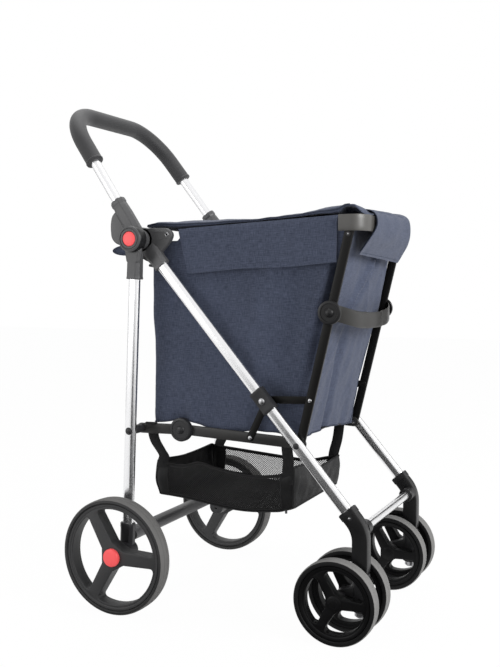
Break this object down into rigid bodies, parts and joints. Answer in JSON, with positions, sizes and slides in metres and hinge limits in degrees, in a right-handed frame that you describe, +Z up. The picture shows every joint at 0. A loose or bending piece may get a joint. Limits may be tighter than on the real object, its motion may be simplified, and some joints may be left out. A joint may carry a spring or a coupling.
{
  "type": "shopping trolley",
  "caption": "Folding shopping trolley: fabric bag with lid on crossed legs, basket below, large rear wheels, twin swivel front wheels, U-shaped push handle.",
  "frame": {"origin": "on the floor at the middle of the whole trolley, seen from above", "axes": "+Z up, -Y towards the front swivel wheels, +X to the left of the person who pushes it"},
  "size_m": [0.5446, 0.7382, 1.0698],
  "materials": {
    "aluminium": "satin anodised",
    "steel": "zinc plated",
    "black_plastic": "fine moulded grain",
    "dark_paint": "satin black",
    "tyre": "matt",
    "wheel_plastic": "satin",
    "grip_foam": "matt foam",
    "red_plastic": "satin",
    "navy_cloth": "melange weave",
    "black_mesh": "nylon with mesh"
  },
  "bodies": {
    "rear_frame": {"rear_leg_left": "aluminium", "rear_leg_right": "aluminium", "rear_foot_left": "black_plastic", "rear_foot_right": "black_plastic", "rear_axle_left": "steel", "rear_axle_right": "steel", "hub_housing_left": "black_plastic", "hub_housing_right": "black_plastic", "stay_bolt_left": "black_plastic", "stay_bolt_right": "black_plastic", "fold_bolt_left": "steel", "fold_bolt_right": "steel", "rear_cross_tube": "dark_paint", "basket": "black_mesh"},
    "front_frame": {"front_leg_left": "aluminium", "front_leg_right": "aluminium", "leg_bracket_left": "black_plastic", "leg_bracket_right": "black_plastic", "front_fork_left": "black_plastic", "front_fork_right": "black_plastic", "front_cross_bar": "aluminium", "bag": "navy_cloth"},
    "handle": {"handle_tube": "aluminium", "handle_grip": "grip_foam", "handle_knuckle_left": "black_plastic", "handle_knuckle_right": "black_plastic"},
    "hub_button_left": {"hub_button_left": "red_plastic"},
    "hub_button_right": {"hub_button_right": "red_plastic"},
    "caster_left": {"caster_yoke_left": "black_plastic"},
    "caster_right": {"caster_yoke_right": "black_plastic"},
    "slider": {"slider_left": "black_plastic", "slider_right": "black_plastic"},
    "strut": {"strut_left": "dark_paint", "strut_right": "dark_paint"},
    "link": {"link_left": "dark_paint", "link_right": "dark_paint"},
    "front_stay": {"front_stay_left": "dark_paint", "front_stay_right": "dark_paint"},
    "rear_stay": {"rear_stay_left": "dark_paint", "rear_stay_right": "dark_paint"},
    "post_frame": {"post_left": "dark_paint", "post_right": "dark_paint", "top_band": "dark_paint", "mid_band": "dark_paint"},
    "lid": {"lid": "navy_cloth", "front_flap": "navy_cloth"},
    "rear_wheel_left": {"rear_rim_left": "wheel_plastic", "rear_tyre_left": "tyre", "rear_cap_left": "red_plastic"},
    "rear_wheel_right": {"rear_rim_right": "wheel_plastic", "rear_tyre_right": "tyre", "rear_cap_right": "red_plastic"},
    "front_wheel_left_outer": {"front_rim_left_outer": "wheel_plastic", "front_tyre_left_outer": "tyre"},
    "front_wheel_left_inner": {"front_rim_left_inner": "wheel_plastic", "front_tyre_left_inner": "tyre"},
    "front_wheel_right_outer": {"front_rim_right_outer": "wheel_plastic", "front_tyre_right_outer": "tyre"},
    "front_wheel_right_inner": {"front_rim_right_inner": "wheel_plastic", "front_tyre_right_inner": "tyre"}
  },
  "joints": [
    {"name": "front_fold", "type": "hinge", "parent": "rear_frame", "child": "front_frame", "pos_m": [0, 0.154, 0.7705], "axis": [1, 0, 0], "range_deg": [0, 28], "deforming": ["bag", "basket", "lid", "front_flap"]},
    {"name": "rear_stay_fold", "type": "hinge", "parent": "rear_frame", "child": "rear_stay", "pos_m": [0, 0.1705, 0.373], "axis": [1, 0, 0], "range_deg": [-99, 0]},
    {"name": "front_stay_fold", "type": "hinge", "parent": "front_frame", "child": "front_stay", "pos_m": [0, -0.19525, 0.36589], "axis": [1, 0, 0], "range_deg": [0, 25.2]},
    {"name": "post_fold", "type": "hinge", "parent": "front_frame", "child": "post_frame", "pos_m": [0, -0.19525, 0.36589], "axis": [1, 0, 0], "range_deg": [-43.2, 0]},
    {"name": "slider_travel", "type": "slide", "parent": "front_frame", "child": "slider", "axis": [0, 0.6534, 0.757], "range_m": [0, 0.0696]},
    {"name": "strut_swing", "type": "hinge", "parent": "slider", "child": "strut", "pos_m": [0, -0.12338, 0.44916], "axis": [1, 0, 0], "range_deg": [-38.7, 0]},
    {"name": "link_swing", "type": "hinge", "parent": "slider", "child": "link", "pos_m": [0, -0.12338, 0.44916], "axis": [1, 0, 0], "range_deg": [0, 41.2]},
    {"name": "handle_fold", "type": "hinge", "parent": "rear_frame", "child": "handle", "pos_m": [0, 0.154, 0.7705], "axis": [1, 0, 0], "range_deg": [0, 111]},
    {"name": "lid_open", "type": "hinge", "parent": "front_frame", "child": "lid", "pos_m": [0, 0.134, 0.78891], "axis": [-1, 0, 0], "range_deg": [0, 110]},
    {"name": "button_press_left", "type": "slide", "parent": "rear_frame", "child": "hub_button_left", "axis": [-1, 0, 0], "range_m": [0, 0.004], "stiffness_N_per_m": 600, "springref_m": -0.002},
    {"name": "button_press_right", "type": "slide", "parent": "rear_frame", "child": "hub_button_right", "axis": [1, 0, 0], "range_m": [0, 0.004], "stiffness_N_per_m": 600, "springref_m": -0.002},
    {"name": "caster_swivel_left", "type": "hinge", "parent": "front_frame", "child": "caster_left", "pos_m": [0.173, -0.3255, 0.132], "axis": [0, 0, 1], "continuous": true},
    {"name": "front_wheel_spin_left_outer", "type": "hinge", "parent": "caster_left", "child": "front_wheel_left_outer", "pos_m": [0.21, -0.2875, 0.082], "axis": [1, 0, 0], "continuous": true},
    {"name": "front_wheel_spin_left_inner", "type": "hinge", "parent": "caster_left", "child": "front_wheel_left_inner", "pos_m": [0.136, -0.2875, 0.082], "axis": [1, 0, 0], "continuous": true},
    {"name": "rear_wheel_spin_left", "type": "hinge", "parent": "rear_frame", "child": "rear_wheel_left", "pos_m": [0.25, 0.178, 0.12], "axis": [1, 0, 0], "continuous": true},
    {"name": "caster_swivel_right", "type": "hinge", "parent": "front_frame", "child": "caster_right", "pos_m": [-0.173, -0.3255, 0.132], "axis": [0, 0, 1], "continuous": true},
    {"name": "front_wheel_spin_right_outer", "type": "hinge", "parent": "caster_right", "child": "front_wheel_right_outer", "pos_m": [-0.21, -0.2875, 0.082], "axis": [1, 0, 0], "continuous": true},
    {"name": "front_wheel_spin_right_inner", "type": "hinge", "parent": "caster_right", "child": "front_wheel_right_inner", "pos_m": [-0.136, -0.2875, 0.082], "axis": [1, 0, 0], "continuous": true},
    {"name": "rear_wheel_spin_right", "type": "hinge", "parent": "rear_frame", "child": "rear_wheel_right", "pos_m": [-0.25, 0.178, 0.12], "axis": [1, 0, 0], "continuous": true}
  ],
  "couplings": [
    {"joint": "rear_stay_fold", "follows": "front_fold", "ratio": -3.5293},
    {"joint": "front_stay_fold", "follows": "front_fold", "ratio": 0.89321},
    {"joint": "post_fold", "follows": "front_fold", "ratio": -1.5354},
    {"joint": "slider_travel", "follows": "front_fold", "m_per_rad": 0.14211},
    {"joint": "strut_swing", "follows": "front_fold", "ratio": -1.3739},
    {"joint": "link_swing", "follows": "front_fold", "ratio": 1.4636}
  ]
}
